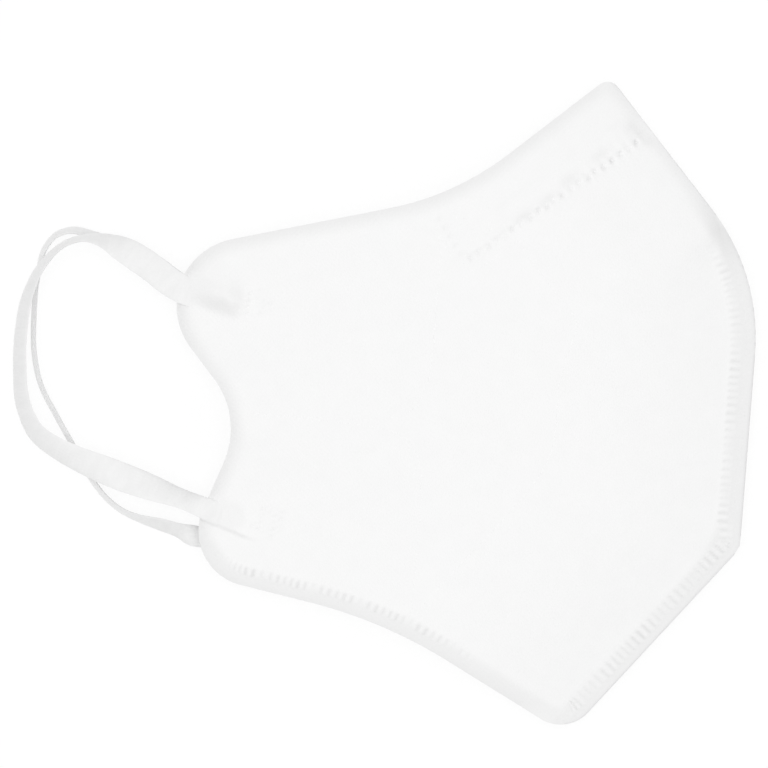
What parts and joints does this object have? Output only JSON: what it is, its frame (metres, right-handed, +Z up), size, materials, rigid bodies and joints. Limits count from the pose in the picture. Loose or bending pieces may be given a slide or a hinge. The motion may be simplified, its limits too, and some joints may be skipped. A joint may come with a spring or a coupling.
{
  "type": "disposable dust mask",
  "caption": "White flat-fold dust mask lying folded on its side, with welded front seam, nose wire pocket and flat elastic ear loops; the upper half bends open.",
  "frame": {"origin": "centre of the folded mask's plan box without its ear loops, on the surface that its left half lies on", "axes": "+X forward to the front seam, +Y along the front seam towards the nose, +Z up, out of the wearer's right half"},
  "size_m": [0.169, 0.1468, 0.015],
  "materials": {
    "cover_spunbond": "matte",
    "prefilter_cotton": "matte",
    "filter_melt_blown": "matte",
    "lining_spunbond": "matte",
    "wire_aluminium": "satin",
    "loop_elastic": "matte"
  },
  "bodies": {
    "left_half": {"left_cover": "cover_spunbond", "left_prefilter": "prefilter_cotton", "left_filter": "filter_melt_blown", "left_lining": "lining_spunbond", "right_front_cover": "cover_spunbond", "right_front_prefilter": "prefilter_cotton", "right_front_filter": "filter_melt_blown", "right_front_lining": "lining_spunbond", "nose_wire": "wire_aluminium"},
    "right_cheek": {"right_cheek_cover": "cover_spunbond", "right_cheek_prefilter": "prefilter_cotton", "right_cheek_filter": "filter_melt_blown", "right_cheek_lining": "lining_spunbond", "nose_wire_tail": "wire_aluminium"},
    "right_loop": {"right_ear_loop": "loop_elastic"},
    "left_loop": {"left_ear_loop": "loop_elastic"}
  },
  "joints": [
    {"name": "mask_open", "type": "hinge", "parent": "left_half", "child": "right_cheek", "pos_m": [0.012, 0, 0.0152], "axis": [0, 1, 0], "range_deg": [0, 90]},
    {"name": "right_loop_stretch", "type": "slide", "parent": "right_cheek", "child": "right_loop", "axis": [-1, 0, 0], "range_m": [0, 0.03], "stiffness_N_per_m": 30},
    {"name": "left_loop_stretch", "type": "slide", "parent": "left_half", "child": "left_loop", "axis": [-1, 0, 0], "range_m": [0, 0.03], "stiffness_N_per_m": 30}
  ]
}
